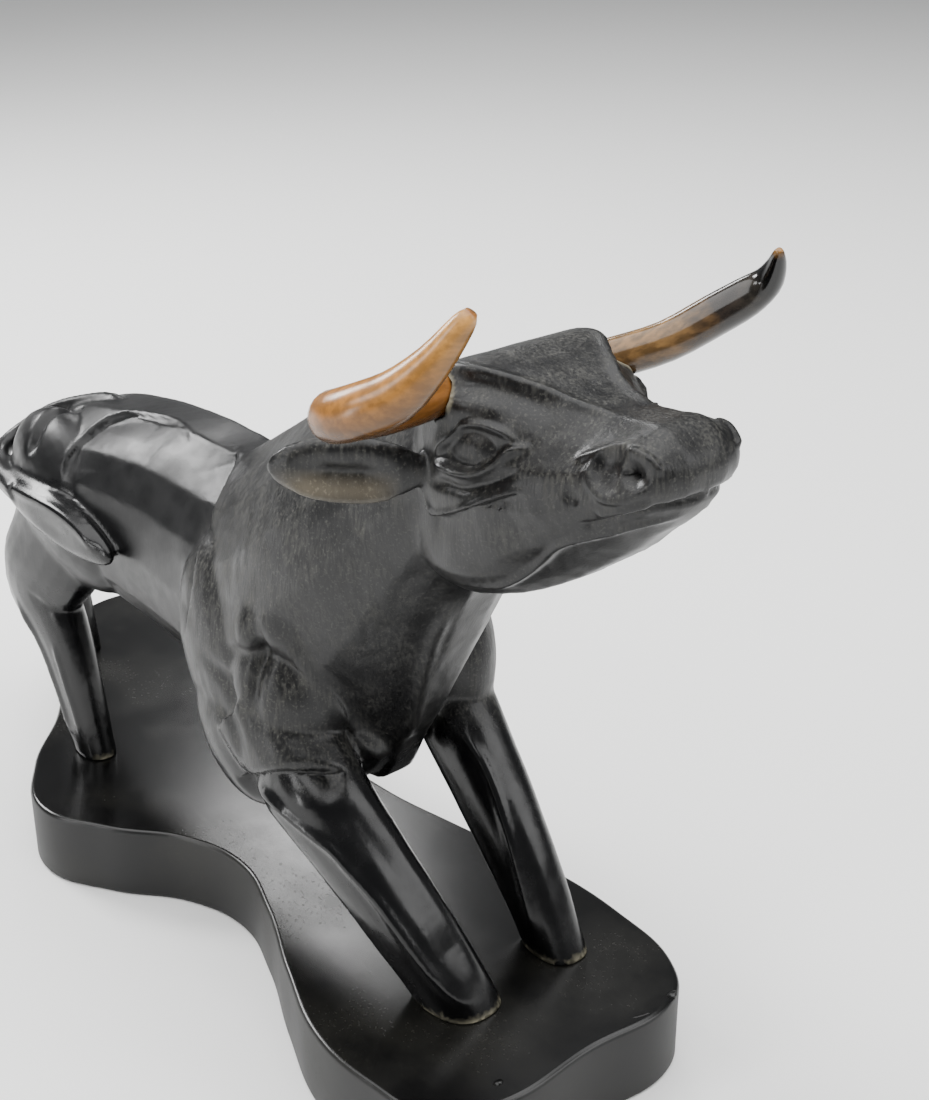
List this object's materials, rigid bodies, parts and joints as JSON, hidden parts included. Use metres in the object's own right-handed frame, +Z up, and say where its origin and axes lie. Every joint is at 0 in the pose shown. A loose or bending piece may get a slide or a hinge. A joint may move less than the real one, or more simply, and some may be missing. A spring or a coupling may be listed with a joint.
{
  "type": "bull sculpture",
  "caption": "Carved ebonised wood bull striding with raised head on a free-form wooden plinth, with polished horn tips for horns",
  "frame": {"origin": "on the underside of the plinth, under its waist", "axes": "+X is the way the bull faces, +Y is its left side, +Z is up"},
  "size_m": [0.2777, 0.11, 0.1895],
  "materials": {
    "bull": "ebonised and hand polished, duller on neck and head",
    "plinth": "ebonised and waxed",
    "right_horn": "polished amber horn",
    "left_horn": "polished dark horn with a tan root"
  },
  "bodies": {
    "root": {"bull": "bull", "plinth": "plinth", "right_horn": "right_horn", "left_horn": "left_horn"}
  },
  "joints": []
}
